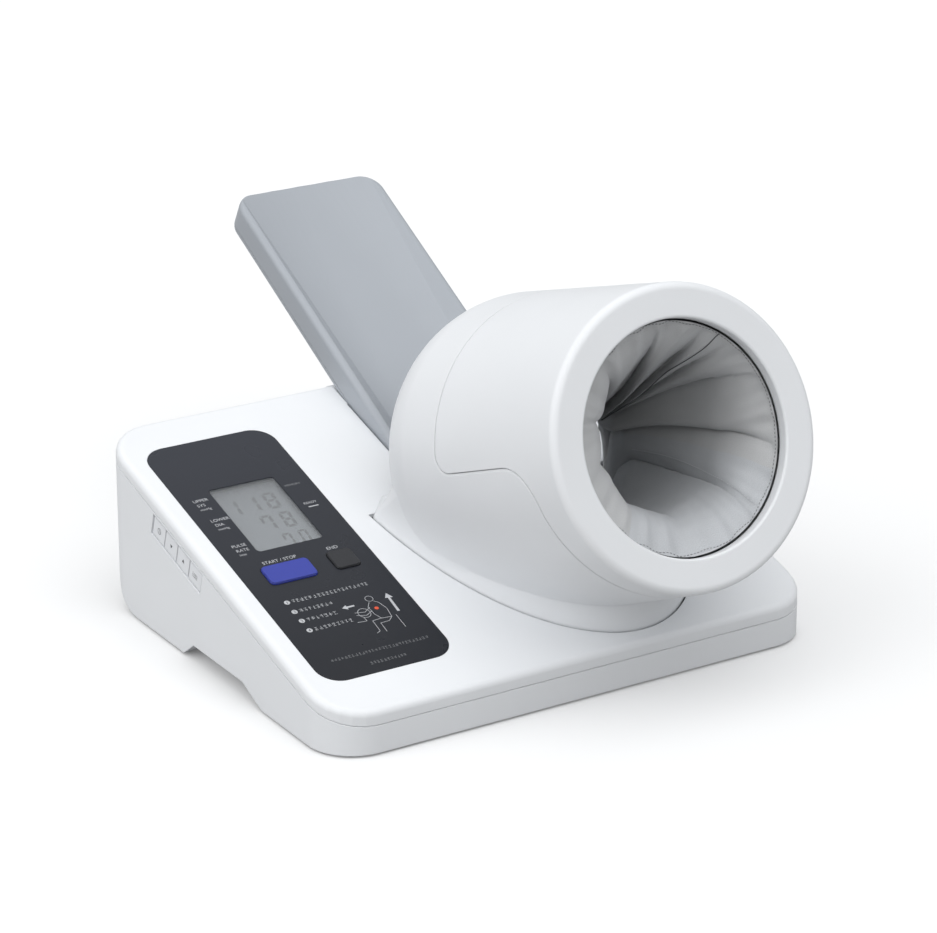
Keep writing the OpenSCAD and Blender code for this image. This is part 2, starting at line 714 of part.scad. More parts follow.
module board_screws() place() color([0.7, 0.7, 0.72]) on_deck()
    for (p = board_posts) translate([p[0], p[1], board_top - board_t]) {
        cylinder(r = board_screw_r, h = 6);
        translate([0, 0, -1.3]) cylinder(r = 2.1, h = 1.3);
    }

module case_screws() place() color([0.7, 0.7, 0.72])
    for (p = posts) translate([p[0], p[1], post_top(p[1]) - head_seat]) {
        cylinder(r = screw_r, h = screw_l);
        translate([0, 0, -head_t]) cylinder(r = head_r, h = head_t);
    }

module along_y(x, y, z) translate([x, y, z]) rotate([-90, 0, 0]) children();

module pump_motor() place() color([0.72, 0.73, 0.75]) along_y(pump_x, motor_y, pump_z) {
    cylinder(r = motor_r, h = motor_l);
    translate([0, 0, motor_l]) cylinder(r = 4.5, h = 2);
    for (x = [-5, 5]) translate([x - 1, -0.2, motor_l]) cube([2, 0.4, 5]);
}

module air_pump() place() color([0.22, 0.23, 0.25]) along_y(pump_x, pump_y, pump_z) {
    cylinder(r = pump_r, h = pump_l * 0.6);
    translate([0, 0, pump_l * 0.6]) cylinder(r = pump_r - 1.5, h = pump_l * 0.4);
    translate([0, 0, -5]) cylinder(r = tube_r - 0.8, h = 5);
}

module exhaust_valve() place() color([0.75, 0.74, 0.70]) along_y(valve_x, valve_y, pump_z) {
    cylinder(r = valve_r, h = valve_l);
    for (z = [-5, valve_l]) translate([0, 0, z]) cylinder(r = tube_r - 0.8, h = 5);
}

// Quarter bend in the level plane, from +Y round to +X or -X
module bend(r) rotate_extrude(angle = 90) translate([bend_r, 0]) circle(r, $fn = 32);

module air_tubes() place() color([0.85, 0.85, 0.82]) translate([0, 0, pump_z]) difference() {
    run_y = pump_y - 8;
    end_y = valve_y + valve_l + 5;
    union() {
        // from the pump forwards, across, and back to the valve
        translate([pump_x, run_y, 0]) rotate([-90, 0, 0]) cylinder(r = tube_r, h = 7);
        translate([pump_x + bend_r, run_y, 0]) rotate([0, 0, 180]) bend(tube_r);
        translate([pump_x + bend_r, run_y - bend_r, 0]) rotate([0, 90, 0])
            cylinder(r = tube_r, h = valve_x - pump_x - 2 * bend_r);
        translate([valve_x - bend_r, run_y, 0]) rotate([0, 0, 270]) bend(tube_r);
        translate([valve_x, run_y, 0]) rotate([-90, 0, 0]) cylinder(r = tube_r, h = valve_y - run_y - 0.5);
        // from the valve to the cuff's well
        translate([valve_x, valve_y + valve_l + 0.5, 0]) rotate([-90, 0, 0]) cylinder(r = tube_r, h = 4.5);
        translate([valve_x + bend_r, end_y, 0]) rotate([0, 0, 90]) bend(tube_r);
        translate([valve_x + bend_r, end_y + bend_r, 0]) rotate([0, 90, 0])
            cylinder(r = tube_r, h = tube_end_x - valve_x - bend_r);
    }
    along_y(pump_x, pump_y - 5, 0) cylinder(r = tube_r - 0.8, h = 9);
    along_y(valve_x, valve_y - 5, 0) cylinder(r = tube_r - 0.8, h = 9);
    along_y(valve_x, valve_y + valve_l - 1, 0) cylinder(r = tube_r - 0.8, h = 6);
}
module dc_jack() place() color([0.12, 0.12, 0.13]) difference() {
    translate([jack_x, jack_face_y, jack_z]) rotate([90, 0, 0]) union() {
        cylinder(r = jack_r, h = 6);
        translate([-jack_half, -jack_half, 5]) cube([2 * jack_half, 11, 14]);
    }
    translate([jack_x, jack_face_y + 1, jack_z]) rotate([90, 0, 0]) difference() {
        cylinder(r = jack_bore_r, h = 11);
        // centre pin
        translate([0, 0, 2]) cylinder(r = 1, h = 12, $fn = 32);
    }
}

module cuff_hinge_pins() place() color([0.7, 0.7, 0.72])
    for (side = [-1, 1]) at_cuff_hinge(side, skirt_w - pin_in) cylinder(r = pin_r, h = pin_in + pin_out);

module rest_hinge_pins() place() color([0.7, 0.7, 0.72])
    for (side = [-1, 1]) at_rest_hinge(side, rest_w / 2 - rest_pin_in)
        cylinder(r = pin_r, h = rest_pin_in + rest_pin_out);

// ---------------------------------------------------------------- cuff barrel
// Outer radius of the barrel at the distance d behind its mouth: a cone with a domed rear end
function barrel_at(d) = min(barrel_r, mouth_r + (barrel_r - mouth_r) * d / (barrel_l - dome_l + 5))
    - (d > barrel_l + 5 - dome_l ? dome_r * (1 - sqrt(1 - pow((d - barrel_l - 5 + dome_l) / dome_l, 2))) : 0);

// Solid of revolution of the barrel, inset by t; the rear opening stays at its own radius
module barrel_solid(t) rotate_extrude() polygon(concat(
    [[0, face_t - t]],
    t > 0 ? [[mouth_r - t, face_t - t]]
          : arc(mouth_r - lip_round, face_t - lip_round, lip_round, lip_round, 90, 0, 8),
    [for (i = [0:12]) let(d = dome_start + (barrel_l - dome_start) * i / 12) [barrel_at(d) - t, -d]],
    [[0, -barrel_l]]));

// Which part of the barrel the upper cover is: the mouth's collar all round and the upper half
// behind it, with the parting line's curves. Drawn as (height, -distance behind the mouth), grown by g.
module cover_side(g) {
    low = 3 - g;
    rear = cover_l + g;
    polygon(concat(
        [[120, -rear]],
        arc(low + 12, -rear + 12, 12, 12, 270, 180, 8),
        [[low, -48]],
        arc(low - 26, -48, 26, 26 - g, 0, 90, 10),
        [[-74, -16 - g], [-120, -13 - g], [-120, 20], [120, 20]]));
}

module cover_region(g) translate([-150, 0, 0]) rotate([90, 0, 90]) linear_extrude(300) cover_side(g);

module barrel_upper_cover() place() color(white) in_cuff() {
    difference() {
        intersection() {
            difference() {
                barrel_solid(0);
                barrel_solid(barrel_wall);
            }
            cover_region(0);
        }
        mouth_hole();
        clamp_screws() translate([0, 0, -1]) cylinder(r = screw_r, h = 3);
    }
    // collar that the fabric starts behind
    rotate_extrude() translate([opening_r, -collar_l]) square([2, collar_l + 0.5]);
}

// Places a child at each screw of the front clamp ring
module clamp_screws() for (a = [45:90:315]) rotate(a) translate([(opening_r + drum_r) / 2, 0, 0]) children();

module mouth_hole() rotate_extrude() polygon(concat([[0, -10], [opening_r, -10]],
    arc(opening_r + 1.5, face_t - 1.5, 1.5, 1.5, 180, 90, 6), [[opening_r + 1.5, 10], [0, 10]]));

// Skirt under the barrel, inset by t: widest at the deck, with a draft both ways
module skirt_solid(t) hull() {
    on_deck() translate([0, 0, -skirt_depth]) linear_extrude(0.1) skirt_outline(-1.5 - t, skirt_end - t);
    on_deck() linear_extrude(0.1) skirt_outline(-t, skirt_end - t);
    on_deck() translate([0, skirt_nose, 27]) rotate([-5, 0, 0]) translate([0, -skirt_nose, 0])
        linear_extrude(0.1) skirt_outline(-3.5 - t, skirt_end - t);
}

// The hollow inside the skirt, open at the bottom
module skirt_core() hull() {
    t = barrel_wall;
    on_deck() translate([0, 0, -skirt_depth - 1]) linear_extrude(0.1) skirt_outline(-1.6 - t, skirt_end - t);
    on_deck() linear_extrude(0.1) skirt_outline(-t, skirt_end - t);
    on_deck() translate([0, skirt_nose, 28]) rotate([-5, 0, 0]) translate([0, -skirt_nose, 0])
        linear_extrude(0.1) skirt_outline(-3.6 - t, skirt_end - t);
}

// Shoulder that carries the barrel's side down to the rear end of the skirt
module shoulder() hull() {
    for (d = [dome_start - 25, dome_start - 10, dome_start, dome_start + 20])
        in_cuff() translate([0, 0, -d]) linear_extrude(0.5) shoulder_slice(d);
    for (h = [-skirt_depth, 0]) on_deck() translate([0, 0, h]) linear_extrude(0.1) intersection() {
        skirt_outline(h < 0 ? -1.9 : -0.4, skirt_end - 0.4);
        translate([0, 100]) square([far, far]);
    }
}

// Slice across the barrel, as far as it lies over the skirt
module shoulder_slice(d) {
    r = barrel_at(d) - 0.5;
    half = [for (i = [1:16]) let(u = -r * cos(5.6 * i), at = cuff_to_deck(d, u))
        if (at[1] > -skirt_depth && at[0] < skirt_end - 0.5)
            [min(r * sin(5.6 * i), skirt_half(at[0]) - 0.6), u]];
    polygon(concat(half, [for (i = [len(half) - 1:-1:0]) [-half[i][0], half[i][1]]]));
}

module barrel_lower_shell() place() color(white) {
    difference() {
        union() {
            in_cuff() barrel_solid(0);
            difference() {
                skirt_solid(0);
                skirt_core();
            }
            shoulder();
            for (side = [-1, 1]) at_cuff_hinge(side, skirt_w - pin_in) cylinder(r = hub_r, h = shell_boss_l);
        }
        in_cuff() {
            barrel_solid(barrel_wall);
            cover_region(seam_gap);
            translate([0, 0, -barrel_l - 60]) cylinder(r = barrel_at(barrel_l) + 8, h = 60);
        }
        for (side = [-1, 1]) at_cuff_hinge(side, skirt_w - 30) cylinder(r = pin_r + run_gap, h = 60);
    }
}

// ---------------------------------------------------------------- inside the cuff
// Ring of a rectangular section, from the distance d0 to d1 behind the mouth
module tube(r_in, r_out, d0, d1) rotate_extrude() translate([r_in, -d1]) square([r_out - r_in, d1 - d0]);

module front_clamp_ring() place() color([0.82, 0.83, 0.84]) in_cuff() difference() {
    tube(opening_r + 2.3, drum_r + 2.5, fit_gap, collar_l);
    clamp_screws() translate([0, 0, -collar_l - 1]) cylinder(r = screw_r + 0.1, h = collar_l + 2);
}

module rear_clamp_ring() place() color([0.82, 0.83, 0.84]) in_cuff() rotate_extrude() polygon(concat(
    [[drum_r - drum_t, -drum_end - fit_gap], [rear_opening_r, -barrel_l + 5],
     [rear_opening_r, -barrel_l + 1.5]],
    [for (i = [0:8]) let(d = barrel_l - 1.5 - (barrel_l - 1.5 - drum_end - fit_gap) * i / 8)
        [barrel_at(d) - barrel_wall - fit_gap, -d]]));

module inner_drum() place() color([0.80, 0.81, 0.82]) in_cuff()
    tube(drum_r - drum_t, drum_r, collar_l + fit_gap, drum_end);

module wrap_bladder() place() color([0.35, 0.36, 0.38]) in_cuff()
    tube(bag_r - bag_t, bag_r, 12, drum_end - 4);

module curler() place() color([0.90, 0.90, 0.86]) in_cuff() difference() {
    tube(curler_r - curler_t, curler_r, 9, drum_end - 2);
    translate([-9, -curler_r - 5, -drum_end]) cube([18, 20, drum_end]);
}

module measuring_bladder() place() color([0.30, 0.32, 0.36]) in_cuff()
    rotate([0, 0, cell_bag_from]) rotate_extrude(angle = cell_bag_span)
        translate([measure_r - cell_bag_t, -cell_bag_start - cell_bag_l]) square([cell_bag_t, cell_bag_l]);

// Fabric sleeve, drawn in towards the arm between its two ends
function sleeve_at(d) = opening_r - 2 - 16 * pow(sin(180 * d / (barrel_l + 8)), 1.2);
function sleeve_t(d) = 1.7 + 7 * sin(180 * d / (barrel_l + 8));
module cuff_cover() place() color([0.62, 0.63, 0.64]) in_cuff() rotate_extrude() polygon(concat(
    [for (i = [0:16]) let(d = sleeve_l * i / 16) [sleeve_at(d) + sleeve_t(d), -d]],
    [for (i = [0:16]) let(d = sleeve_l * (16 - i) / 16) [sleeve_at(d), -d]]));

module barrel_screws() place() color([0.7, 0.7, 0.72]) in_cuff() clamp_screws() translate([0, 0, -collar_l]) {
    cylinder(r = screw_r, h = collar_l + 2);
    translate([0, 0, -head_t]) cylinder(r = 2.6, h = head_t);
}

// ---------------------------------------------------------------- forearm rest
// Slab of the rest between two heights over the hinge line, with the rims e0 and e1 rounded
module rest_slab(z0, z1, e0, e1) {
    r = rest_corner_r;
    foot_r_corner = 8;
    hull() {
        for (u = [-1:0.5:1])
            translate([u * (rest_w / 2 - r), rest_l - r - rest_bow * u * u, 0]) puck(r, z0, z1, e0, e1);
        for (side = [-1, 1])
            translate([side * (rest_w / 2 - foot_r_corner), -rest_foot + foot_r_corner, 0])
                puck(foot_r_corner, z0, z1, e0, e1);
    }
}

module puck(r, z0, z1, e0, e1) rotate_extrude($fn = 48) polygon(concat([[0, z0]],
    e0 > 0 ? arc(r - e0, z0 + e0, e0, e0, 270, 360, 4) : [[r, z0]],
    e1 > 0 ? arc(r - e1, z1 - e1, e1, e1, 0, 90, 4) : [[r, z1]], [[0, z1]]));

// Trough: a shallow curve at the far end, and deep with sloping sides at the foot
module trough() {
    w = rest_w - 9;
    hull() {
        translate([0, rest_l + 6, rest_rim]) rotate([90, 0, 0]) linear_extrude(1)
            polygon(concat([for (i = [0:16]) let(u = -1 + i / 8) [u * w / 2, -trough_end * (1 - u * u)]],
                [[w / 2, 10], [-w / 2, 10]]));
        translate([0, -rest_foot - 5, rest_rim]) rotate([90, 0, 0]) linear_extrude(1)
            polygon([[-w / 2, 0], [-w / 2 + 15, -trough_foot], [w / 2 - 15, -trough_foot], [w / 2, 0],
                     [w / 2, 10], [-w / 2, 10]]);
    }
}

module forearm_rest() place() color([0.66, 0.68, 0.72]) in_rest() difference() {
    rest_slab(rest_rim - rest_t + rest_split, rest_rim, 0, rest_edge);
    trough();
    for (p = rest_bolts) translate([p[0], p[1], 0])
        cylinder(r = screw_r, h = rest_rim - rest_t + rest_split + 5);
}

module forearm_rest_back() place() color([0.64, 0.66, 0.70]) {
    difference() {
        union() {
            in_rest() rest_slab(rest_rim - rest_t, rest_rim - rest_t + rest_split - 0.2, rest_edge, 0);
            for (side = [-1, 1]) at_rest_hinge(side, rest_w / 2 - rest_boss_l)
                cylinder(r = hub_r - 1, h = rest_boss_l);
        }
        for (side = [-1, 1]) at_rest_hinge(side, rest_w / 2 - 30) cylinder(r = pin_r + run_gap, h = 60);
        in_rest() {
            translate([-rest_w, -rest_foot, rest_rim - rest_t + rest_split - 0.2]) cube([2 * rest_w, 60, 30]);
            for (p = rest_bolts) translate([p[0], p[1], rest_rim - rest_t]) {
                translate([0, 0, -1]) cylinder(r = post_hole_r, h = 1 + head_t + 0.4);
                cylinder(r = screw_r + 0.1, h = 10);
            }
        }
    }
}

module rest_screws() place() color([0.7, 0.7, 0.72]) in_rest()
    for (p = rest_bolts) translate([p[0], p[1], rest_rim - rest_t + 0.4]) {
        cylinder(r = head_r, h = head_t);
        cylinder(r = screw_r, h = 8);
    }

base_top_cover();
base_bottom_case();
cuff_well();
rubber_feet();
battery_door();
batteries();
battery_contacts();
control_panel();
lcd_window();
lcd_module();
start_button();
end_button();
panel_switches();
memory_key();
up_key();
down_key();
clock_key();
side_key_board();
side_key_switches();
main_board();
board_chips();
pump_motor();
air_pump();
exhaust_valve();
air_tubes();
dc_jack();
case_screws();
board_screws();
cuff_hinge_pins();
rest_hinge_pins();
barrel_upper_cover();
barrel_lower_shell();
front_clamp_ring();
rear_clamp_ring();
inner_drum();
wrap_bladder();
curler();
measuring_bladder();
cuff_cover();
barrel_screws();
forearm_rest();
forearm_rest_back();
rest_screws();
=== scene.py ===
"""Arm-in blood pressure monitor: finishes, panel printing, key icons and the gathered sleeve."""
import math
import random

import bmesh
import bpy
import numpy as np
from mathutils import Matrix, Vector


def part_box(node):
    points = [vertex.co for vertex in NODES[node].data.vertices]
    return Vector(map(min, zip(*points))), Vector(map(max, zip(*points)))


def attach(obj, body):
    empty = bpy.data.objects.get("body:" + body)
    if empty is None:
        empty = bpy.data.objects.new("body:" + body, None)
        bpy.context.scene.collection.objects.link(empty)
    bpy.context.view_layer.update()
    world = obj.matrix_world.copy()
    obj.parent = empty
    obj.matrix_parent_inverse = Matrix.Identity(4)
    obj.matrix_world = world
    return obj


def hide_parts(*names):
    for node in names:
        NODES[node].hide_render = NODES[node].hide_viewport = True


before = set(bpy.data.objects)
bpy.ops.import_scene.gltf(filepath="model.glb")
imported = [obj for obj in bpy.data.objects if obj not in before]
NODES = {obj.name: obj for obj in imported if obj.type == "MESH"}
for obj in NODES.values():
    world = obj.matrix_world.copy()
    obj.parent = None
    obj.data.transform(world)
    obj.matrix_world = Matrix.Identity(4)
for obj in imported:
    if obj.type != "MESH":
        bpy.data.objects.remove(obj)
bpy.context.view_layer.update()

# ------------------------------------------------------------------ frames
# Sizes below are in millimetres, from the front left corner of the base.
MM = 0.001
ORIGIN = Vector((160.0, 171.2933, 0.0))
SLOPE = math.radians(16.25)
DECK_FRONT = 25.8
CUFF_ANGLE = math.radians(21.2)
MOUTH = Vector((205.3, -24.6, 153.7))
OPENING_R = 65.0
INWARDS = Vector((0.0, math.cos(CUFF_ANGLE), -math.sin(CUFF_ANGLE)))
UPWARDS = Vector((0.0, math.sin(CUFF_ANGLE), math.cos(CUFF_ANGLE)))


def fit(x, y, z):
    return (Vector((x, y, z)) - ORIGIN) * MM


def deck(x, s, h=0.0):
    """Point x from the left edge, s along the sloping deck and h over it."""
    return fit(
        x,
        s * math.cos(SLOPE) - h * math.sin(SLOPE),
        DECK_FRONT + s * math.sin(SLOPE) + h * math.cos(SLOPE),
    )


def cuff(depth, angle, radius):
    """Point in the arm opening: depth behind its mouth, angle clockwise from the top."""
    p = MOUTH + INWARDS * depth + UPWARDS * (radius * math.cos(angle))
    return fit(p.x + radius * math.sin(angle), p.y, p.z)


# ------------------------------------------------------------------ materials
class Shade:
    """A material whose nodes are added and linked with one call each."""

    def __init__(self, name, colour, rough, **inputs):
        self.material = bpy.data.materials.new(name)
        self.material.use_nodes = True
        self.tree = self.material.node_tree
        self.bsdf = self.tree.nodes["Principled BSDF"]
        self.set(self.bsdf, Base_Color=(*colour, 1.0), Roughness=rough, **inputs)
        self.where = self.add("TexCoord").outputs["Object"]

    def set(self, node, **values):
        for key, value in values.items():
            by_number = key[0] == "i" and key[1:].isdigit()
            socket = node.inputs[int(key[1:]) if by_number else key.replace("_", " ")]
            if isinstance(value, bpy.types.NodeSocket):
                self.tree.links.new(value, socket)
            else:
                socket.default_value = value

    def add(self, kind, settings=None, **values):
        node = self.tree.nodes.new("ShaderNode" + kind)
        for key, value in (settings or {}).items():
            setattr(node, key, value)
        self.set(node, **values)
        return node

    def noise(self, scale, detail=2.0, where=None, rough=0.5):
        node = self.add("TexNoise", Vector=where or self.where, Scale=scale, Detail=detail, Roughness=rough)
        return node.outputs["Fac"]

    def ramp(self, fac, *stops):
        """A colour ramp; each stop is (position, grey or colour)."""
        node = self.add("ValToRGB", Fac=fac)
        while len(node.color_ramp.elements) < len(stops):
            node.color_ramp.elements.new(0.5)
        for element, (position, colour) in zip(node.color_ramp.elements, stops):
            element.position = position
            element.color = (*colour, 1.0) if hasattr(colour, "__len__") else (colour,) * 3 + (1.0,)
        return node.outputs["Color"]

    def math(self, operation, a, b=0.0):
        return self.add("Math", {"operation": operation}, i0=a, i1=b).outputs[0]

    def vary(self, colour, scale, amount, detail=3.0):
        """Base colour that drifts by a share of itself, as moulded plastic does."""
        low = [c * (1 - amount) for c in colour]
        high = [min(1.0, c * (1 + amount)) for c in colour]
        self.set(self.bsdf, Base_Color=self.ramp(self.noise(scale, detail), (0.3, low), (0.7, high)))
        return self

    def rough(self, scale, low, high, detail=2.0):
        fac = self.noise(scale, detail)
        span = self.add("MapRange", Value=fac, From_Min=0.3, From_Max=0.7, To_Min=low, To_Max=high)
        self.set(self.bsdf, Roughness=span.outputs["Result"])
        return self

    def bump(self, height, strength, distance, bevel=0.0):
        node = self.add("Bump", Height=height, Strength=strength, Distance=distance)
        if bevel:
            self.set(node, Normal=self.add("Bevel", {"samples": 6}, Radius=bevel).outputs["Normal"])
        self.set(self.bsdf, Normal=node.outputs["Normal"])
        return self


def moulded(name, colour, rough=0.42, bevel=0.0007, grain=900.0, drift=0.012, **inputs):
    """Injection-moulded plastic: fine texture, soft edges and a slight drift of colour and gloss."""
    shade = Shade(name, colour, rough, **inputs)
    shade.vary(colour, 14.0, drift).rough(30.0, rough - 0.03, rough + 0.04)
    return shade.bump(shade.noise(grain, 3.0), 0.10, 0.00006, bevel)


def metal(name, colour, rough, stretch=(1, 1, 40)):
    shade = Shade(name, colour, rough, Metallic=1.0)
    grain = shade.add("Mapping", Vector=shade.where, Scale=tuple(90.0 * v for v in stretch)).outputs["Vector"]
    streaks = shade.noise(6.0, 4.0, grain)
    shade.vary(colour, 60.0, 0.06)
    return shade.bump(streaks, 0.12, 0.00005, 0.0003)


WHITE = (0.84, 0.855, 0.875)
GRAPHITE = (0.020, 0.022, 0.028)

housing = moulded("white_housing", WHITE)
shell_white = moulded("white_shell", WHITE, bevel=0.003)
key_white = moulded("side_keys", (0.82, 0.835, 0.86), rough=0.36, bevel=0.0009)
well_dark = moulded("well_plastic", (0.20, 0.205, 0.215), rough=0.55, grain=700.0)
inner_grey = moulded("inner_plastic", (0.58, 0.59, 0.60), rough=0.5)
pump_black = moulded("pump_body", (0.04, 0.042, 0.05), rough=0.4)
switch_black = moulded("switch_body", (0.045, 0.045, 0.05), rough=0.45, bevel=0.0003)
start_blue = moulded("start_blue", (0.028, 0.044, 0.34), rough=0.34, bevel=0.0009, drift=0.03)
end_black = moulded("end_black", (0.012, 0.013, 0.017), rough=0.34, bevel=0.0009, drift=0.03)
rest_grey = moulded("rest_plastic", (0.385, 0.41, 0.445), rough=0.40, bevel=0.0012, grain=1100.0)


def panel_graphite():
    """Semi-gloss printed panel, with a painted reflection that makes it lighter towards its far end."""
    shade = Shade("panel", GRAPHITE, 0.32, Specular_IOR_Level=0.25)
    along = shade.add("SeparateXYZ", Vector=shade.where).outputs["Y"]
    # painted reflection: the colour rises towards the panel's far end
    lift = shade.add("MapRange", Value=along, From_Min=-0.14, From_Max=0.07, To_Min=0.0, To_Max=1.0)
    cloud = shade.math("ADD", lift.outputs["Result"], shade.math("MULTIPLY", shade.noise(20.0), 0.12))
    shade.set(shade.bsdf, Base_Color=shade.ramp(cloud, (0.0, (0.012, 0.0135, 0.018)), (1.0, (0.031, 0.034, 0.044))))
    shade.rough(45.0, 0.27, 0.33)
    return shade.bump(shade.noise(1600.0, 2.0), 0.06, 0.00004)


def display_glass():
    """Grey reflective liquid crystal with painted shade that makes it a little darker at its far end, under the
    window's far wall, and a faint fine grain.
    """
    shade = Shade("display", (0.30, 0.325, 0.35), 0.32)
    split = shade.add("SeparateXYZ", Vector=shade.where)
    # painted shade: the crystal darkens towards its far end
    painted_far_shade = shade.add("MapRange", Value=split.outputs["Y"], From_Min=-0.030, From_Max=0.030).outputs["Result"]
    cloud = shade.math("ADD", painted_far_shade, shade.math("MULTIPLY", shade.noise(35.0), 0.15))
    near, middle, far = (0.155, 0.17, 0.185), (0.13, 0.142, 0.155), (0.095, 0.103, 0.114)
    shade.set(shade.bsdf, Base_Color=shade.ramp(cloud, (0.0, near), (0.75, middle), (1.0, far)))
    return shade.bump(shade.noise(2600.0, 1.0), 0.03, 0.00003)


def clear_lens():
    shade = Shade("window", (0.9, 0.93, 0.95), 0.06, Alpha=0.10, IOR=1.45, Coat_Weight=0.4, Coat_Roughness=0.05)
    return shade.bump(shade.noise(60.0, 1.0), 0.02, 0.00003)


def rubber(name, colour, rough=0.75):
    shade = Shade(name, colour, rough)
    shade.vary(colour, 120.0, 0.12)
    return shade.bump(shade.noise(1800.0, 4.0), 0.35, 0.0001, 0.0005)


def circuit_board():
    """Green solder mask over copper tracks, from a brick pattern broken up by noise."""
    shade = Shade("circuit_board", (0.02, 0.12, 0.05), 0.35, Coat_Weight=0.3, Coat_Roughness=0.15)
    tracks = shade.add("TexBrick", Vector=shade.where, Scale=160.0, Mortar_Size=0.08, Brick_Width=1.7)
    broken = shade.math("MULTIPLY", tracks.outputs["Fac"], shade.math("GREATER_THAN", shade.noise(90.0), 0.48))
    shade.set(shade.bsdf, Base_Color=shade.ramp(broken, (0.0, (0.012, 0.085, 0.035)), (1.0, (0.03, 0.19, 0.07))))
    return shade.bump(broken, 0.3, 0.00008)


def cell_wrap():
    """Printed sleeve of a round cell: plain with two darker bands."""
    shade = Shade("cell_wrap", (0.5, 0.38, 0.12), 0.28, Coat_Weight=0.3)
    along = shade.add("SeparateXYZ", Vector=shade.where).outputs["Y"]
    band = shade.math("SINE", shade.math("MULTIPLY", along, 240.0))
    shade.set(shade.bsdf, Base_Color=shade.ramp(band, (0.42, (0.03, 0.03, 0.035)), (0.48, (0.52, 0.40, 0.14))))
    return shade.bump(shade.noise(300.0), 0.05, 0.00005, 0.0003)


def fabric(name, light, dark, pitch=0.00042):
    """Stretch jersey: knit columns and courses along the cloth's own lengths, melange yarn and sheen."""
    shade = Shade(name, light, 0.86, Sheen_Weight=0.35, Sheen_Roughness=0.5, Sheen_Tint=(0.95, 0.97, 1.0, 1.0))
    cloth = shade.add("UVMap", {"uv_map": "cloth"}).outputs["UV"]
    split = shade.add("SeparateXYZ", Vector=cloth)
    turns = 2 * math.pi / pitch
    column = shade.math("SINE", shade.math("MULTIPLY", split.outputs["X"], turns))
    course = shade.math("SINE", shade.math("MULTIPLY", split.outputs["Y"], turns * 0.8))
    knit = shade.math("MULTIPLY", column, course)
    melange = shade.noise(2200.0, 2.0, cloth)
    drift = shade.noise(45.0, 3.0, cloth)
    mix = shade.math("ADD", shade.math("MULTIPLY", melange, 0.75), shade.math("MULTIPLY", drift, 0.25))
    # the bottom panel of the sleeve is its own piece of cloth, tinted lighter and cooler: painted light for the light
    # that comes in through the rear opening
    turn = shade.math("DIVIDE", split.outputs["X"], 2 * math.pi * OPENING_R * MM)
    painted_light_panel = shade.math("MULTIPLY", shade.math("GREATER_THAN", turn, 0.325), shade.math("LESS_THAN", turn, 0.62))
    # and the cloth is darkened further into the sleeve, lightest along the mouth: painted shade for the shade inside
    # the sleeve
    painted_depth_shade = shade.add("MapRange", Value=split.outputs["Y"], From_Min=0.012, From_Max=0.045, To_Min=1.0, To_Max=0.68)
    multiply = {"blend_type": "MULTIPLY"}
    yarn = shade.ramp(mix, (0.34, dark), (0.66, light))
    tint = shade.add("MixRGB", multiply, Fac=painted_light_panel, Color1=yarn, Color2=(1.0, 1.02, 1.05, 1.0))
    tint = shade.add("MixRGB", multiply, Fac=1.0, Color1=tint.outputs["Color"], Color2=painted_depth_shade.outputs["Result"])
    shade.set(shade.bsdf, Base_Color=tint.outputs["Color"])
    height = shade.math("ADD", knit, shade.math("MULTIPLY", melange, 0.8))
    return shade.bump(height, 0.35, 0.00010)


FINISH = {
    housing: ("base_top_cover", "base_bottom_case", "battery_door",
              "barrel_upper_cover", "front_clamp_ring", "rear_clamp_ring"),
    shell_white: ("barrel_lower_shell",),
    key_white: ("memory_key", "up_key", "down_key", "clock_key"),
    well_dark: ("cuff_well",),
    rubber("foot_rubber", (0.022, 0.022, 0.024)): ("rubber_feet",),
    panel_graphite(): ("control_panel",),
    clear_lens(): ("lcd_window",),
    display_glass(): ("lcd_module",),
    start_blue: ("start_button",),
    end_black: ("end_button",),
    rest_grey: ("forearm_rest", "forearm_rest_back"),
    cell_wrap(): ("batteries",),
    metal("spring_metal", (0.62, 0.60, 0.54), 0.28): ("battery_contacts",),
    metal("screw_steel", (0.50, 0.50, 0.51), 0.35): (
        "case_screws", "board_screws", "barrel_screws", "rest_screws", "cuff_hinge_pins", "rest_hinge_pins"),
    switch_black: ("panel_switches", "side_key_switches", "board_chips", "dc_jack"),
    circuit_board(): ("main_board", "side_key_board"),
    metal("motor_can", (0.55, 0.56, 0.58), 0.25): ("pump_motor", "exhaust_valve"),
    pump_black: ("air_pump",),
    rubber("air_tube", (0.55, 0.55, 0.53), 0.45): ("air_tubes",),
    inner_grey: ("inner_drum", "curler"),
    rubber("bladder", (0.10, 0.11, 0.13), 0.6): ("wrap_bladder", "measuring_bladder"),
}
for shade, names in FINISH.items():
    for name in names:
        NODES[name].data.materials.clear()
        NODES[name].data.materials.append(shade.material)


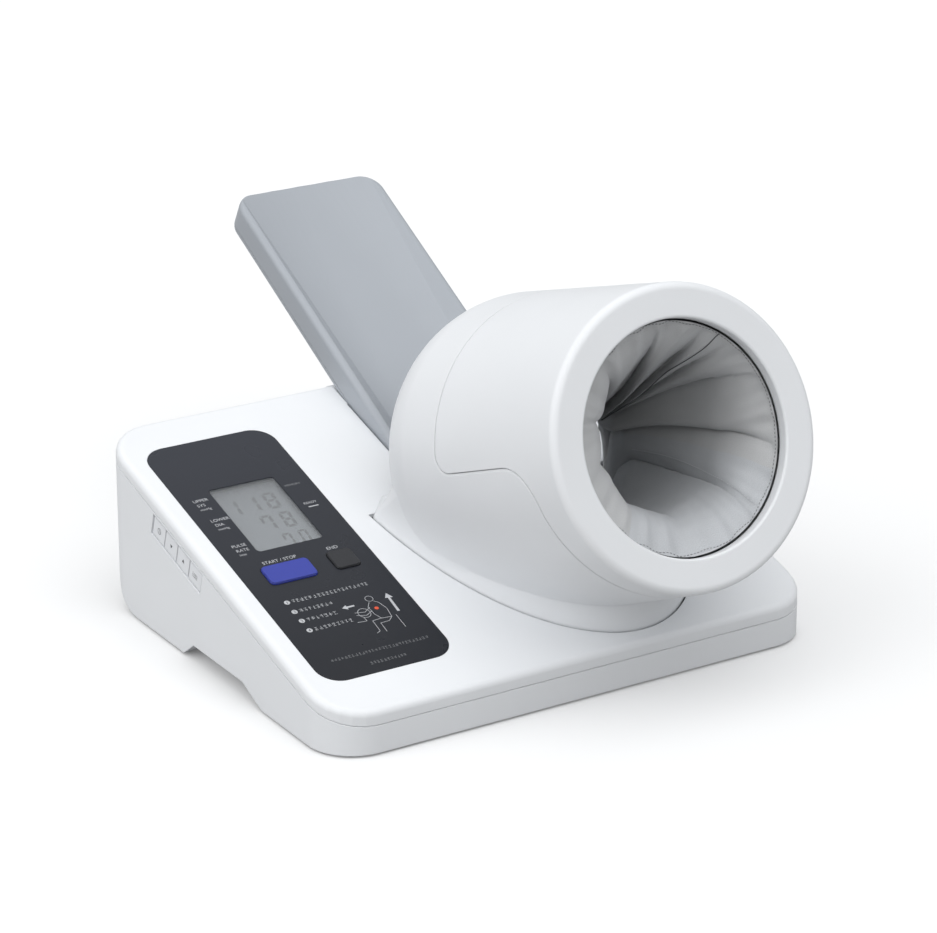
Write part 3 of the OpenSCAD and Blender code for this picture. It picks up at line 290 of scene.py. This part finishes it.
# ------------------------------------------------------------------ printing
class Print:
    """Flat printing on a face: polygons drawn in that face's own two directions, in millimetres."""

    def __init__(self, name, shade, body, slot, place):
        self.name, self.shade, self.body, self.slot, self.place = name, shade, body, slot, place
        self.mesh = bmesh.new()

    def poly(self, points):
        self.mesh.faces.new([self.mesh.verts.new(self.place(*p)) for p in points])

    def bar(self, x0, y0, x1, y1):
        self.poly([(x0, y0), (x1, y0), (x1, y1), (x0, y1)])

    def disc(self, x, y, r, n=28):
        angles = [2 * math.pi * i / n for i in range(n)]
        self.poly([(x + r * math.cos(a), y + r * math.sin(a)) for a in angles])

    def line(self, points, width=0.35):
        """A stroke along points, as one quad for each stretch with a round dot at each corner."""
        for a, b in zip(points, points[1:]):
            d = Vector((b[0] - a[0], b[1] - a[1]))
            if d.length < 1e-6:
                continue
            n = Vector((-d.y, d.x)).normalized() * width / 2
            self.poly([(a[0] - n.x, a[1] - n.y), (b[0] - n.x, b[1] - n.y),
                       (b[0] + n.x, b[1] + n.y), (a[0] + n.x, a[1] + n.y)])
        for p in points:
            self.disc(p[0], p[1], width / 2, 8)

    def arc(self, x, y, r, start=0.0, end=360.0, width=0.35, n=28, squeeze=1.0):
        angles = [math.radians(start + (end - start) * i / n) for i in range(n + 1)]
        self.line([(x + r * math.cos(a), y + squeeze * r * math.sin(a)) for a in angles], width)

    def letters(self, text, x, y, size, align="LEFT", bold=0.0):
        """Plain sans lettering whose baseline starts, or is centred, at (x, y)."""
        curve = bpy.data.curves.new("lettering", "FONT")
        curve.body, curve.size, curve.align_x, curve.offset = text, size, align, bold
        obj = bpy.data.objects.new("lettering", curve)
        bpy.context.scene.collection.objects.link(obj)
        bpy.context.view_layer.update()
        flat = bpy.data.meshes.new_from_object(obj.evaluated_get(bpy.context.evaluated_depsgraph_get()))
        made = [self.mesh.verts.new(self.place(x + v.co.x, y + v.co.y)) for v in flat.vertices]
        for face in flat.polygons:
            self.mesh.faces.new([made[i] for i in face.vertices])
        bpy.data.objects.remove(obj)
        bpy.data.curves.remove(curve)
        bpy.data.meshes.remove(flat)

    def marks(self, rng, x0, x1, y, size, width=0.26):
        """A line of small abstract marks that stands for fine print; no letters."""
        x = x0
        while x + size * 0.8 < x1:
            w = size * rng.uniform(0.62, 0.86)
            rows = rng.sample([0.05, 0.35, 0.65, 0.95], rng.choice((2, 3)))
            for r in rows:
                inset = rng.uniform(0.0, 0.25) * w
                self.line([(x + inset, y + r * size), (x + w - rng.uniform(0.0, 0.2) * w, y + r * size)], width)
            c = x + w * rng.uniform(0.3, 0.7)
            self.line([(c, y + rng.uniform(0.0, 0.2) * size), (c + 0.05 * size, y + size)], width)
            x += w + size * 0.28

    def finish(self):
        data = bpy.data.meshes.new(self.name)
        bmesh.ops.recalc_face_normals(self.mesh, faces=self.mesh.faces)
        self.mesh.to_mesh(data)
        self.mesh.free()
        data.materials.append(self.shade.material)
        obj = bpy.data.objects.new(self.name, data)
        bpy.context.scene.collection.objects.link(obj)
        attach(obj, self.body)
        return obj


def ink(name, colour, rough=0.55):
    shade = Shade(name, colour, rough)
    shade.vary(colour, 700.0, 0.08)
    return shade.bump(shade.noise(3000.0, 1.0), 0.05, 0.00002)


def on_panel(height):
    return lambda x, s: deck(x, s, height)


grey_ink = ink("grey_ink", (0.50, 0.51, 0.53))
dim_ink = ink("dim_ink", (0.20, 0.205, 0.215))
red_ink = ink("red_ink", (0.75, 0.09, 0.03))
dark_ink = ink("dark_ink", (0.035, 0.037, 0.042))
segment_ink = ink("segment_ink", (0.050, 0.054, 0.060), 0.4)

PANEL_H = 0.03
labels = Print("panel_printing", grey_ink, "base", "panel", on_panel(PANEL_H))
faint = Print("panel_fine_print", dim_ink, "base", "panel", on_panel(PANEL_H))
rng = random.Random(4)

# Names of the three readings, with their units
for text, extra, unit, x, s in (("UPPER", "SYS", "mmHg", 19.6, 198.6), ("LOWER", "DIA", "mmHg", 20.8, 179.0),
                                ("PULSE", "RATE", "/min", 20.8, 153.6)):
    labels.letters(text, x, s, 3.4)
    labels.letters(extra, x + 0.6, s - 4.4, 3.4)
    labels.letters(unit, x + 0.6, s - 8.0, 2.6)
faint.letters("MEMORY", 77.4, 195.4, 2.5)
labels.letters("READY", 79.6, 176.6, 2.7)
labels.bar(81.0, 173.5, 87.4, 174.3)
labels.letters("START / STOP", 30.0, 134.3, 3.5)
labels.letters("END", 71.2, 134.3, 3.6)

# Numbered steps, each a disc with its number left open and a line of fine print
for number, s, end in (("1", 99.7, 79.8), ("2", 91.0, 52.0), ("3", 82.6, 49.4), ("4", 73.8, 54.4)):
    labels.disc(26.3, s, 1.75)
    labels.marks(rng, 29.6, end, s - 1.35, 2.6, 0.24)
faint.marks(rng, 24.4, 87.0, 45.2, 2.1, 0.22)
faint.marks(rng, 43.8, 68.4, 36.0, 2.1, 0.22)
numbers = Print("step_numbers", ink("panel_ink", GRAPHITE), "base", "panel", on_panel(PANEL_H + 0.03))
for number, s in (("1", 99.7), ("2", 91.0), ("3", 82.6), ("4", 73.8)):
    numbers.letters(number, 26.3, s - 1.15, 3.2, "CENTER")

# Pictogram of its own: a seated figure, one arm through a ring, with the two movements
fig = Print("panel_pictogram", grey_ink, "base", "panel", on_panel(PANEL_H))
fig.arc(71.5, 87.2, 2.3)
fig.line([(69.9, 84.3), (67.2, 80.6), (67.6, 74.0), (69.6, 69.6),
          (75.8, 69.0), (76.8, 76.5), (75.0, 82.6), (73.0, 84.6)], 0.3)
fig.line([(69.6, 69.6), (63.6, 69.2), (63.2, 60.0), (60.6, 58.8)], 0.3)
fig.line([(75.8, 69.0), (72.6, 66.2), (67.0, 66.0), (66.6, 58.4)], 0.3)
fig.line([(68.0, 80.2), (63.4, 77.4), (57.6, 78.6)], 0.3)
fig.line([(67.8, 77.2), (63.0, 74.6), (57.4, 76.2)], 0.3)
fig.arc(62.6, 76.8, 3.6, width=0.32, squeeze=1.1)
fig.line([(55.0, 70.6), (60.6, 70.2), (60.4, 73.4)], 0.3)
fig.poly([(52.9, 84.6), (56.0, 86.6), (56.0, 85.2), (60.6, 85.2), (60.6, 84.0), (56.0, 84.0), (56.0, 82.6)])
fig.poly([(81.2, 72.0), (82.8, 72.0), (83.4, 84.2), (85.2, 84.0), (83.0, 88.4), (80.4, 84.6), (82.0, 84.4)])
fig.line([(78.8, 69.6), (78.6, 58.6)], 0.3)
heart = Print("panel_red_dot", red_ink, "base", "panel", on_panel(PANEL_H + 0.02))
heart.disc(71.4, 78.4, 1.25)
for p in (labels, faint, numbers, fig, heart):
    p.finish()

# ------------------------------------------------------------------ display
DISPLAY_H = -3.2 + 0.04
SEGMENTS = {  # which of the seven bars each digit shows: top, sides, middle, sides, bottom
    "0": "abcdef", "1": "bc", "2": "abged", "3": "abgcd", "4": "fgbc", "5": "afgcd",
    "6": "afgedc", "7": "fabc", "8": "abcdefg", "9": "abcdfg"}


def digit(out, figure, x, s, w, h, t):
    """A seven-segment figure with its lower left corner at (x, s), leaning slightly to the right."""
    lean = 0.075
    g = 0.16 * t
    mid = h / 2
    frames = {
        "a": [(g + t * 0.2, h), (w - g - t * 0.2, h), (w - g - t, h - t), (g + t, h - t)],
        "d": [(g + t, t), (w - g - t, t), (w - g - t * 0.2, 0), (g + t * 0.2, 0)],
        "g": [(g + t * 0.6, mid), (g + t * 1.1, mid + t / 2), (w - g - t * 1.1, mid + t / 2),
              (w - g - t * 0.6, mid), (w - g - t * 1.1, mid - t / 2), (g + t * 1.1, mid - t / 2)],
        "f": [(0, h - g - t * 0.2), (t, h - g - t), (t, mid + g + t * 0.5), (t * 0.5, mid + g),
              (0, mid + g + t * 0.3)],
        "e": [(0, g + t * 0.2), (0, mid - g - t * 0.3), (t * 0.5, mid - g), (t, mid - g - t * 0.5),
              (t, g + t)],
        "b": [(w, h - g - t * 0.2), (w, mid + g + t * 0.3), (w - t * 0.5, mid + g),
              (w - t, mid + g + t * 0.5), (w - t, h - g - t)],
        "c": [(w, g + t * 0.2), (w - t, g + t), (w - t, mid - g - t * 0.5), (w - t * 0.5, mid - g),
              (w, mid - g - t * 0.3)],
    }
    for name in SEGMENTS[figure]:
        out.poly([(x + px + lean * py, s + py) for px, py in frames[name]])


segments = Print("display_figures", segment_ink, "base", "display", on_panel(DISPLAY_H))
# Figures, right edge, lowest point, width, height, thickness and pitch
ROWS = (("118", 69.2, 182.6, 7.9, 15.2, 2.1, 12.4), ("78", 69.7, 164.2, 7.4, 14.4, 2.0, 12.4),
        ("70", 70.6, 147.9, 5.8, 12.0, 1.6, 10.2))
for row, right, s, w, h, t, pitch in ROWS:
    for i, figure in enumerate(reversed(row)):
        digit(segments, figure, right - w - i * pitch, s, w, h, t)
for x, text in ((43.6, "715"), (60.4, "1030")):
    for i, figure in enumerate(text):
        digit(segments, figure, x + i * 2.9 + (0.9 if i >= len(text) // 2 else 0), 201.6, 1.9, 3.9, 0.6)
segments.disc(66.9, 202.8, 0.25, 8)
segments.disc(66.9, 204.4, 0.25, 8)
segments.arc(37.6, 203.4, 0.9, width=0.3, n=12)
segments.finish()

# ------------------------------------------------------------------ key icons
KEY_MARKS = {"memory_key": "list", "up_key": "up", "down_key": "down", "clock_key": "clock"}
for name, kind in KEY_MARKS.items():
    low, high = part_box(name)
    centre = (low + high) / 2
    along = Vector((0, math.cos(SLOPE), math.sin(SLOPE)))
    up = Vector((0, -math.sin(SLOPE), math.cos(SLOPE)))
    face = Vector((low.x - 0.00003, centre.y, centre.z))

    def on_key(a, b, face=face, along=along, up=up):
        # the keys are read from the left side, so the row runs towards the front
        return face - along * (a * MM) + up * (b * MM)

    icon = Print(name + "_icon", dark_ink, name, "side_keys", on_key)
    if kind == "list":
        for k in range(3):
            icon.line([(-2.0, 1.1 - 1.1 * k), (2.2, 1.1 - 1.1 * k)], 0.34)
            icon.disc(-3.0, 1.1 - 1.1 * k, 0.3, 10)
    elif kind == "up":
        icon.poly([(-1.3, -0.8), (1.3, -0.8), (0, 1.4)])
    elif kind == "down":
        icon.poly([(-1.3, 0.8), (0, -1.4), (1.3, 0.8)])
    else:
        icon.arc(0, 0, 1.7, width=0.34)
        icon.line([(0, 1.0), (0, 0), (0.9, -0.4)], 0.32)
    icon.finish()

# ------------------------------------------------------------------ sleeve
# The sleeve is a straight tube of stretch fabric, held at both ends of the opening and drawn in
# between them, so the cloth that is left over stands in folds that run towards the waist.
SLEEVE_L = 196.0          # length of the cloth
START_D, END_D = 3.0, 184.0
WAIST_D, WAIST_R, WAIST_SHIFT = 118.0, 30.0, (9.0, -9.0)
# Radius by depth before the cloth folds, on its far right side and on its near left one
REAR = ((WAIST_D, WAIST_R), (140, 37), (160, 49), (175, 58.5), (184, 63.8))
FAR_SIDE = ((3, 64.5), (8, 63.0), (16, 59.4), (30, 54.5), (50, 48.5), (80, 39.5)) + REAR
NEAR_SIDE = ((3, 64.6), (6, 61.0), (10, 54.0), (16, 46.0), (24, 40.0), (36, 35.5), (60, 32.5), (90, 30.5)) + REAR
# Each fold: angle at the mouth where it starts, clockwise from the top, its height, and how far
# its ridge hangs over, as a share of its width
FOLDS = ((-42, 8.5, -0.36), (0, 11.0, -0.46), (29, 8.5, -0.42), (46, 5.0, -0.1), (66, 10.5, 0.48),
         (105, 6.0, 0.12), (145, 2.5, 0.0), (185, 3.0, 0.0), (222, 4.0, 0.1), (256, 5.0, 0.2), (286, 6.0, -0.2))
GATHER_AT, GATHER = math.radians(36), 2.2      # where the folds meet at the waist, and how closely
AROUND, ALONG = 420, 150                       # faces round the sleeve and along it


def smooth_profile(points, depth):
    fine = np.arange(-8, 200.0)
    radii = np.interp(fine, *zip(*points))
    radii = np.convolve(np.pad(radii, 2, "edge"), np.ones(5) / 5, "valid")
    return np.interp(depth, fine, radii)


def sleeve_surface():
    """Points of the cloth as an array (along, around, 3), in millimetres from the mouth: right, up, inwards."""
    row = np.linspace(0, 1, ALONG + 1)
    depth = (START_D + (END_D - START_D) * (0.55 * row + 0.45 * row ** 2))[:, None]
    label = np.linspace(0, 2 * math.pi, AROUND, endpoint=False)[None, :]
    near = np.clip(0.5 + 0.5 * np.cos(label - math.radians(238)), 0, 1) ** 0.75
    base = near * smooth_profile(NEAR_SIDE, depth) + (1 - near) * smooth_profile(FAR_SIDE, depth)
    # narrow gap along the ring on the right
    base = base - 1.3 * np.clip(np.cos(label - math.radians(95)), 0, 1) ** 0.6 * np.exp(-(depth - START_D) / 9.0)
    pull = np.clip((OPENING_R - smooth_profile(FAR_SIDE, depth)) / (OPENING_R - WAIST_R), 0, 1)
    towards_end = (END_D - depth) / (END_D - WAIST_D)
    reach = np.clip(np.where(depth < WAIST_D, (depth - START_D - 3) / 34.0, towards_end), 0, 1) ** 0.7

    def gathered(angle, amount):
        """Angle of a label once the folds have been drawn together by an amount."""
        off = (angle - GATHER_AT + math.pi) % (2 * math.pi) - math.pi
        to = np.sign(off) * math.pi * (np.abs(off) / math.pi) ** GATHER
        return GATHER_AT + off + amount * (to - off)

    starts = np.radians([f[0] for f in FOLDS])
    heights, leans = (np.array([f[k] for f in FOLDS]) for k in (1, 2))
    wander = 0.05 * np.sin(label + 0.5 + 0.021 * depth) + 0.035 * np.sin(2 * label + 2.2 + 0.034 * depth)
    wander = wander + 0.02 * np.sin(5 * label + 0.06 * depth)
    at = (label + wander * reach - starts[0]) % (2 * math.pi) + starts[0]
    ends = np.append(starts[1:], starts[0] + 2 * math.pi)
    i = np.clip(np.searchsorted(starts, at, "right") - 1, 0, len(starts) - 1)
    t = (at - starts[i]) / (ends - starts)[i]
    arch = np.sin(np.pi * t) ** 0.8
    amount = pull ** 1.15
    middle = starts[i] + 0.5 * (ends - starts)[i]
    width = np.abs(gathered(middle + 0.05, amount) - gathered(middle - 0.05, amount)) * (ends - starts)[i] / 0.1
    fold = (arch - 0.5) * heights[i] * reach
    # short puckers where the cloth is stitched to the rings
    rim = np.clip((depth - START_D) / 5.0, 0, 1) * np.exp(-np.clip(depth - START_D - 5, 0, 99) / 9.0)
    back = np.clip((END_D - depth) / 5.0, 0, 1) * np.exp(-np.clip(END_D - depth - 5, 0, 99) / 9.0)
    ripple = np.sin(19 * label + 1.6 * np.sin(3 * label + 1) + 0.9 * np.sin(7 * label))
    fine = 0.5 * np.sin(41 * label + 2 * np.sin(5 * label))
    pucker = (rim + back) * ((1.6 + 1.3 * near) * ripple * (0.7 + 0.3 * np.sin(2 * label + 2)) + fine)
    sag = 0.7 * np.sin(4 * label + 0.05 * depth) * np.sin(0.05 * depth + 2 * label) * pull
    radius = np.minimum(base - fold - pucker - sag, OPENING_R - 0.5)
    theta = gathered(label + wander * reach * 0.4, amount) + leans[i] * arch * width * reach * pull ** 0.3
    x = radius * np.sin(theta) + WAIST_SHIFT[0] * pull ** 1.2
    y = radius * np.cos(theta) + WAIST_SHIFT[1] * pull ** 1.2
    return np.stack([x, y, np.broadcast_to(depth, radius.shape)], -1), depth[:, 0]


def sleeve_to_scene(points):
    """From right, up and inwards of the mouth's centre to the scene."""
    p = points.reshape(-1, 3)
    across = p[:, :1] * np.array((1.0, 0, 0)) + p[:, 1:2] * np.array(UPWARDS)
    world = np.array(MOUTH) + across + p[:, 2:] * np.array(INWARDS)
    return (world - np.array(ORIGIN)) * MM


def make_sleeve(surface):
    data = bpy.data.meshes.new("fabric_sleeve")
    faces = [(j * AROUND + k, j * AROUND + (k + 1) % AROUND, (j + 1) * AROUND + (k + 1) % AROUND, (j + 1) * AROUND + k)
             for j in range(ALONG) for k in range(AROUND)]
    data.from_pydata(sleeve_to_scene(surface).tolist(), [], faces)
    uv = data.uv_layers.new(name="cloth")
    around = 2 * math.pi * OPENING_R * MM
    row_at = (DEPTHS - START_D) / (END_D - START_D)
    corners = ((0, 0), (1, 0), (1, 1), (0, 1))
    grid = np.array([[(around * (k + dk) / AROUND, SLEEVE_L * MM * row_at[j + dj]) for dk, dj in corners]
                     for j in range(ALONG) for k in range(AROUND)], np.float32)
    uv.data.foreach_set("uv", grid.ravel())
    data.polygons.foreach_set("use_smooth", [True] * len(data.polygons))
    data.materials.append(fabric("sleeve_fabric", (0.60, 0.605, 0.61), (0.45, 0.455, 0.46)).material)
    obj = bpy.data.objects.new("fabric_sleeve", data)
    bpy.context.scene.collection.objects.link(obj)
    return obj


def thread(name, surface, path, radius, shade, stitched=False, lift=0.25):
    """Thread lying on the cloth along (angle, depth) points: one run, or stitches with gaps between them."""
    def on_cloth(angle, depth):
        j = float(np.interp(depth, DEPTHS, np.arange(ALONG + 1)))
        k = (angle % (2 * math.pi)) / (2 * math.pi) * AROUND
        j0, k0 = int(min(max(j, 0), ALONG - 1)), int(k) % AROUND
        fj, fa = j - j0, k - int(k)
        k1 = (k0 + 1) % AROUND
        point = surface[j0, k0] * (1 - fa) + surface[j0, k1] * fa
        point = point * (1 - fj) + (surface[j0 + 1, k0] * (1 - fa) + surface[j0 + 1, k1] * fa) * fj
        out = np.array((point[0] - WAIST_SHIFT[0], point[1] - WAIST_SHIFT[1], 0.0))
        return point - out / max(1e-6, np.linalg.norm(out)) * lift

    points = [Vector(p) for p in sleeve_to_scene(np.array([on_cloth(math.radians(a), d) for a, d in path]))]
    curve = bpy.data.curves.new(name, "CURVE")
    curve.dimensions, curve.bevel_depth, curve.bevel_resolution = "3D", radius * MM, 2
    runs = [points[i:i + 3] for i in range(0, len(points) - 3, 4)] if stitched else [points]
    for run in runs:
        spline = curve.splines.new("POLY")
        spline.points.add(len(run) - 1)
        for point, where in zip(spline.points, run):
            point.co = (*where, 1.0)
    curve.materials.append(shade.material)
    obj = bpy.data.objects.new(name, curve)
    bpy.context.scene.collection.objects.link(obj)
    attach(obj, "cuff")
    return obj


surface, DEPTHS = sleeve_surface()
sleeve = make_sleeve(surface)
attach(sleeve, "cuff")
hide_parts("cuff_cover")
dark_thread = ink("dark_thread", (0.06, 0.06, 0.065), 0.8)
grey_thread = ink("grey_thread", (0.20, 0.205, 0.215), 0.8)
light_thread = ink("light_thread", (0.62, 0.63, 0.65), 0.8)
seam_path = [(36 + 2 * math.sin(i / 20), START_D + 0.5 + i * 0.5) for i in range(230)]
seam = thread("sleeve_seam", surface, seam_path, 0.26, dark_thread)
stitch_path = [(138 - 0.02 * i, START_D + 1 + i * 0.45) for i in range(240)]
stitches = thread("sleeve_stitching", surface, stitch_path, 0.2, light_thread, stitched=True)
rim_path = [(i * 0.5, START_D + 1.4) for i in range(720)]
rim_stitches = thread("rim_stitching", surface, rim_path, 0.2, grey_thread, stitched=True)

# ------------------------------------------------------------------ stage
def make_floor():
    """Pale floor, plain white to the camera, that keeps the object's shadow."""
    shade = Shade("floor", (0.80, 0.80, 0.80), 0.9, Specular_IOR_Level=0.0)
    path = shade.add("LightPath").outputs
    # less light thrown back up at the object than the camera sees
    shade.set(shade.bsdf, Base_Color=shade.ramp(path["Is Camera Ray"], (0.0, 0.42), (1.0, 0.82)))
    mirrored = shade.math("MAXIMUM", path["Is Glossy Ray"], path["Is Transmission Ray"])
    seen = shade.math("MAXIMUM", path["Is Camera Ray"], mirrored)
    shade.set(shade.bsdf, Emission_Color=(1, 1, 1, 1), Emission_Strength=shade.math("MULTIPLY", seen, 0.11))
    grid = bmesh.new()
    bmesh.ops.create_grid(grid, x_segments=24, y_segments=24, size=7.0)
    data = bpy.data.meshes.new("floor")
    grid.to_mesh(data)
    grid.free()
    data.materials.append(shade.material)
    obj = bpy.data.objects.new("floor", data)
    obj.location.z = -0.0002
    bpy.context.scene.collection.objects.link(obj)


def sun(name, azimuth, elevation, strength, spread):
    """A soft studio light from a direction; azimuth 0 is the front and 90 the object's left."""
    light = bpy.data.lights.new(name, "SUN")
    light.energy, light.angle = strength, math.radians(spread)
    obj = bpy.data.objects.new(name, light)
    a, e = math.radians(azimuth), math.radians(elevation)
    towards = Vector((-math.sin(a) * math.cos(e), -math.cos(a) * math.cos(e), math.sin(e)))
    obj.rotation_mode = "QUATERNION"
    obj.rotation_quaternion = towards.to_track_quat("Z", "Y")
    bpy.context.scene.collection.objects.link(obj)


def make_world(zenith, horizon):
    """Soft light that grows from the horizon to the zenith, and plain white to the camera."""
    world = bpy.data.worlds.new("studio")
    world.use_nodes = True
    tree = world.node_tree

    def add(kind, **values):
        node = tree.nodes.new("ShaderNode" + kind)
        for key, value in values.items():
            socket = node.inputs[key.replace("_", " ")]
            if isinstance(value, bpy.types.NodeSocket):
                tree.links.new(value, socket)
            else:
                socket.default_value = value
        return node

    height = add("SeparateXYZ", Vector=add("TexCoord").outputs["Generated"]).outputs["Z"]
    sky = add("MapRange", Value=height, From_Min=0.0, From_Max=1.0, To_Min=horizon, To_Max=zenith)
    camera_ray = add("LightPath").outputs["Is Camera Ray"]
    seen = add("MapRange", Value=camera_ray, To_Min=sky.outputs["Result"], To_Max=1.0).outputs["Result"]
    back = tree.nodes["Background"]
    back.inputs["Color"].default_value = (0.97, 0.985, 1.0, 1.0)
    tree.links.new(seen, back.inputs["Strength"])
    bpy.context.scene.world = world


def make_camera():
    azimuth, elevation, roll = math.radians(-32.174), math.radians(21.338), math.radians(0.174)
    level = math.cos(elevation)
    back = Vector((math.sin(azimuth) * level, -math.cos(azimuth) * level, math.sin(elevation)))
    right = Vector((math.cos(azimuth), math.sin(azimuth), 0.0))
    up = right.cross(-back)
    x = right * math.cos(roll) + up * math.sin(roll)
    y = up * math.cos(roll) - right * math.sin(roll)
    data = bpy.data.cameras.new("camera")
    data.sensor_width, data.lens = 36.0, 136.79
    data.clip_start, data.clip_end = 0.05, 60.0
    obj = bpy.data.objects.new("camera", data)
    turned = Matrix((x, y, back)).transposed().to_4x4()
    obj.matrix_world = Matrix.Translation((-1.006195, -1.649502, 0.836384)) @ turned
    bpy.context.scene.collection.objects.link(obj)
    bpy.context.scene.camera = obj


make_floor()
make_world(0.96, 0.22)
sun("key", 10, 66, 1.05, 80)
sun("left_fill", 92, 30, 0.85, 60)
make_camera()
bpy.context.scene.view_settings.view_transform = "Standard"
